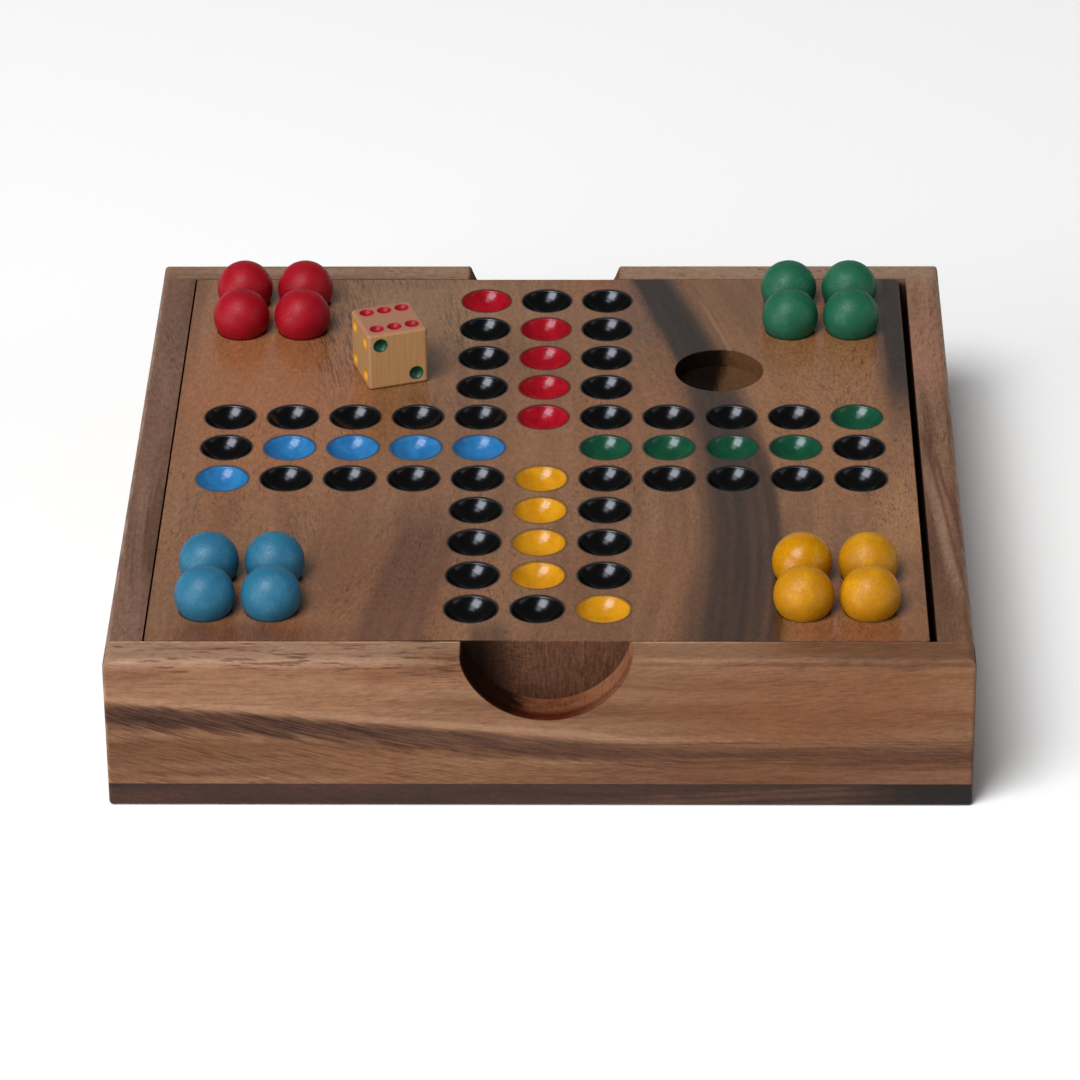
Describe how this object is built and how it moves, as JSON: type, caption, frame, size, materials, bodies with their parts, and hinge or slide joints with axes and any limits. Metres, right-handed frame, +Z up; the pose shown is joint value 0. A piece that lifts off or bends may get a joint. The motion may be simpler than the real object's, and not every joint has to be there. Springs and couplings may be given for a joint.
{
  "type": "ludo board game",
  "caption": "Square wooden game box with a lift-out drilled playing board, coloured ball pieces in corner homes, a loose die and finger notches front and back.",
  "frame": {"origin": "centre of the underside of the base panel", "axes": "+Z up, +X to the right and +Y to the back, as a player sees the box from its front"},
  "size_m": [0.1698, 0.1686, 0.0462],
  "materials": {
    "box_wood": "satin lacquer over brown streaked hardwood",
    "side_wood": "satin lacquer over grey-brown hardwood",
    "base_wood": "satin lacquer over dark brown hardwood",
    "ledge_wood": "bare hardwood",
    "board_wood": "satin lacquer over brown hardwood with dark streaks",
    "red_dye": "dyed wood, satin",
    "green_dye": "dyed wood, satin",
    "blue_dye": "dyed wood, satin",
    "yellow_dye": "dyed wood, satin",
    "die_wood": "pale wood, satin",
    "black_enamel": "gloss paint in the pits",
    "red_enamel": "gloss paint in the pits and pips",
    "green_enamel": "gloss paint in the pits and pips",
    "blue_enamel": "gloss paint in the pits",
    "yellow_enamel": "gloss paint in the pits and pips"
  },
  "bodies": {
    "box": {"front_wall": "box_wood", "back_wall": "box_wood", "left_wall": "side_wood", "right_wall": "side_wood", "base_panel": "base_wood", "left_ledge": "ledge_wood", "right_ledge": "ledge_wood"},
    "board": {"playing_board": "board_wood"},
    "red_ball_1": {"red_ball_1": "red_dye"},
    "red_ball_2": {"red_ball_2": "red_dye"},
    "red_ball_3": {"red_ball_3": "red_dye"},
    "red_ball_4": {"red_ball_4": "red_dye"},
    "green_ball_1": {"green_ball_1": "green_dye"},
    "green_ball_2": {"green_ball_2": "green_dye"},
    "green_ball_3": {"green_ball_3": "green_dye"},
    "green_ball_4": {"green_ball_4": "green_dye"},
    "blue_ball_1": {"blue_ball_1": "blue_dye"},
    "blue_ball_2": {"blue_ball_2": "blue_dye"},
    "blue_ball_3": {"blue_ball_3": "blue_dye"},
    "blue_ball_4": {"blue_ball_4": "blue_dye"},
    "yellow_ball_1": {"yellow_ball_1": "yellow_dye"},
    "yellow_ball_2": {"yellow_ball_2": "yellow_dye"},
    "yellow_ball_3": {"yellow_ball_3": "yellow_dye"},
    "yellow_ball_4": {"yellow_ball_4": "yellow_dye"},
    "die": {"die": "die_wood"}
  },
  "joints": [
    {"name": "board_lift", "type": "slide", "parent": "box", "child": "board", "axis": [0, 0, 1], "range_m": [0, 0.05]},
    {"name": "red_ball_1_lift", "type": "slide", "parent": "board", "child": "red_ball_1", "axis": [0, 0, 1], "range_m": [0, 0.04]},
    {"name": "red_ball_2_lift", "type": "slide", "parent": "board", "child": "red_ball_2", "axis": [0, 0, 1], "range_m": [0, 0.04]},
    {"name": "red_ball_3_lift", "type": "slide", "parent": "board", "child": "red_ball_3", "axis": [0, 0, 1], "range_m": [0, 0.04]},
    {"name": "red_ball_4_lift", "type": "slide", "parent": "board", "child": "red_ball_4", "axis": [0, 0, 1], "range_m": [0, 0.04]},
    {"name": "green_ball_1_lift", "type": "slide", "parent": "board", "child": "green_ball_1", "axis": [0, 0, 1], "range_m": [0, 0.04]},
    {"name": "green_ball_2_lift", "type": "slide", "parent": "board", "child": "green_ball_2", "axis": [0, 0, 1], "range_m": [0, 0.04]},
    {"name": "green_ball_3_lift", "type": "slide", "parent": "board", "child": "green_ball_3", "axis": [0, 0, 1], "range_m": [0, 0.04]},
    {"name": "green_ball_4_lift", "type": "slide", "parent": "board", "child": "green_ball_4", "axis": [0, 0, 1], "range_m": [0, 0.04]},
    {"name": "blue_ball_1_lift", "type": "slide", "parent": "board", "child": "blue_ball_1", "axis": [0, 0, 1], "range_m": [0, 0.04]},
    {"name": "blue_ball_2_lift", "type": "slide", "parent": "board", "child": "blue_ball_2", "axis": [0, 0, 1], "range_m": [0, 0.04]},
    {"name": "blue_ball_3_lift", "type": "slide", "parent": "board", "child": "blue_ball_3", "axis": [0, 0, 1], "range_m": [0, 0.04]},
    {"name": "blue_ball_4_lift", "type": "slide", "parent": "board", "child": "blue_ball_4", "axis": [0, 0, 1], "range_m": [0, 0.04]},
    {"name": "yellow_ball_1_lift", "type": "slide", "parent": "board", "child": "yellow_ball_1", "axis": [0, 0, 1], "range_m": [0, 0.04]},
    {"name": "yellow_ball_2_lift", "type": "slide", "parent": "board", "child": "yellow_ball_2", "axis": [0, 0, 1], "range_m": [0, 0.04]},
    {"name": "yellow_ball_3_lift", "type": "slide", "parent": "board", "child": "yellow_ball_3", "axis": [0, 0, 1], "range_m": [0, 0.04]},
    {"name": "yellow_ball_4_lift", "type": "slide", "parent": "board", "child": "yellow_ball_4", "axis": [0, 0, 1], "range_m": [0, 0.04]},
    {"name": "die_lift", "type": "slide", "parent": "board", "child": "die", "axis": [0, 0, 1], "range_m": [0, 0.04]}
  ]
}
